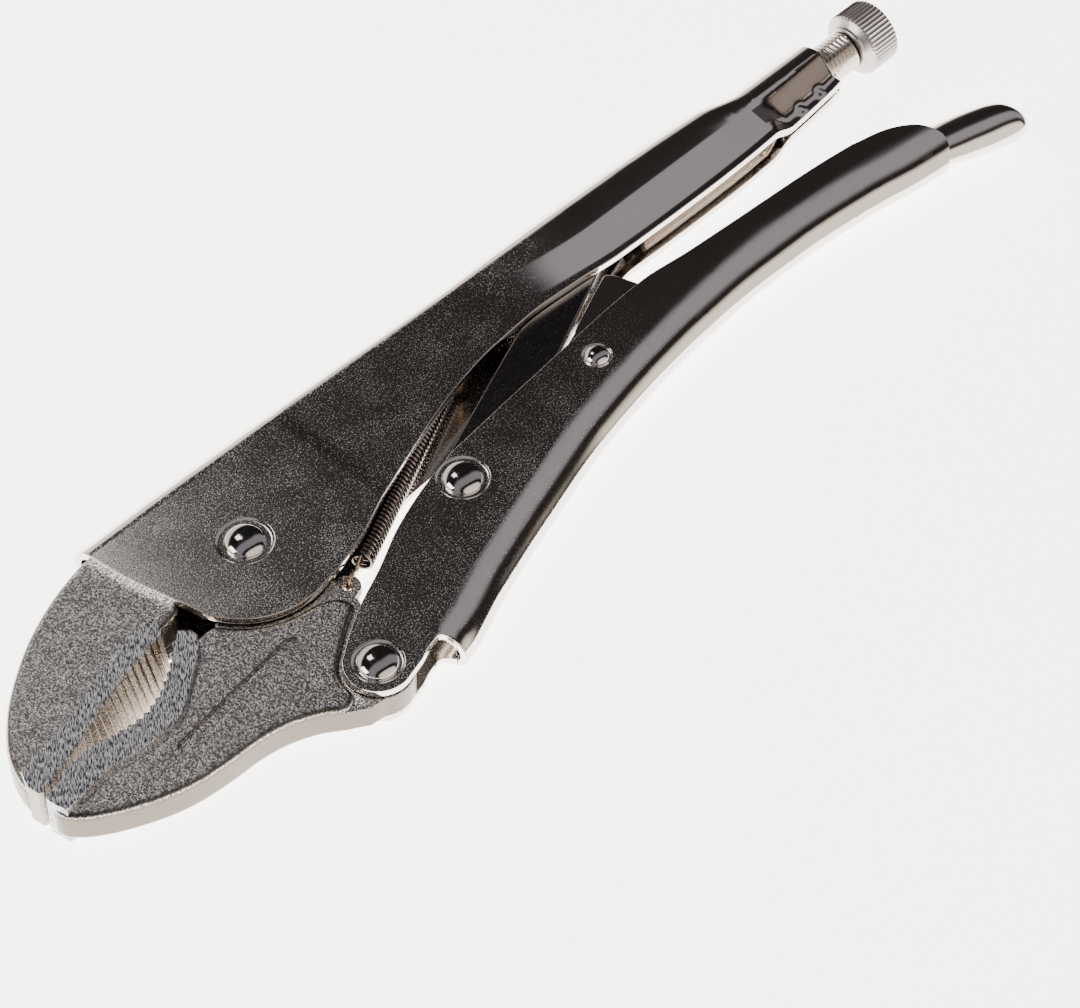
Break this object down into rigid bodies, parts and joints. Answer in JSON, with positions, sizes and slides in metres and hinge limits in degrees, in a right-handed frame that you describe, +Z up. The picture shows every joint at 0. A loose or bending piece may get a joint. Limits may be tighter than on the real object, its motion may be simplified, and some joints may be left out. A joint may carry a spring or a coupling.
{
  "type": "locking pliers",
  "caption": "Locking pliers with forged curved jaws, folded sheet handles, a toggle link, a release lever and a knurled adjusting screw.",
  "frame": {"origin": "centre of the bottom face of the bounding box, with the tool lying on one side", "axes": "+X runs from the jaws to the adjusting knob, +Y from the lower handle to the upper handle, +Z up through the thickness of the tool"},
  "size_m": [0.249, 0.0702, 0.0137],
  "materials": {
    "nickel_sheet": "bright nickel plating on folded sheet, with fine tumbling marks",
    "blasted_forging": "satin, blasted and plated",
    "polished_rivet": "polished",
    "satin_screw": "satin nickel",
    "spring_wire": "dark spring steel"
  },
  "bodies": {
    "upper_frame": {"upper_handle": "nickel_sheet", "fixed_jaw": "blasted_forging", "jaw_pivot_rivet": "polished_rivet", "jaw_spring": "spring_wire"},
    "lower_jaw": {"moving_jaw": "blasted_forging", "handle_pivot_rivet": "polished_rivet"},
    "lower_grip": {"lower_handle": "nickel_sheet", "link_pivot_rivet": "polished_rivet", "lever_pivot_rivet": "polished_rivet"},
    "link": {"toggle_link": "nickel_sheet"},
    "lever": {"release_lever": "nickel_sheet"},
    "screw": {"adjusting_screw": "satin_screw"},
    "knob": {"screw_knob": "satin_screw"}
  },
  "joints": [
    {"name": "jaw_hinge", "type": "hinge", "parent": "upper_frame", "child": "lower_jaw", "pos_m": [-0.05986, 0.0113, 0.00685], "axis": [0, 0, 1], "range_deg": [0, 24], "deforming": ["jaw_spring"]},
    {"name": "handle_hinge", "type": "hinge", "parent": "lower_jaw", "child": "lower_grip", "pos_m": [-0.06446, -0.0253, 0.00685], "axis": [0, 0, 1], "range_deg": [-66.5, 0]},
    {"name": "link_hinge", "type": "hinge", "parent": "lower_grip", "child": "link", "pos_m": [-0.02289, -0.0095, 0.00685], "axis": [0, 0, 1], "range_deg": [0, 71]},
    {"name": "lever_hinge", "type": "hinge", "parent": "lower_grip", "child": "lever", "pos_m": [0.01609, -0.0097, 0.00685], "axis": [0, 0, 1], "range_deg": [0, 10]},
    {"name": "screw_travel", "type": "slide", "parent": "upper_frame", "child": "screw", "axis": [0.996, -0.0889, 0], "range_m": [0, 0.0077]},
    {"name": "knob_spin", "type": "hinge", "parent": "screw", "child": "knob", "pos_m": [0.10614, 0.0067, 0.00685], "axis": [0.996, -0.0889, 0], "range_deg": [0, 2522]}
  ],
  "couplings": [
    {"joint": "handle_hinge", "follows": "jaw_hinge", "ratio": -2.76},
    {"joint": "link_hinge", "follows": "jaw_hinge", "ratio": 2.94},
    {"joint": "lever_hinge", "follows": "jaw_hinge", "ratio": 0.4},
    {"joint": "knob_spin", "follows": "screw_travel", "rad_per_m": 5712}
  ]
}
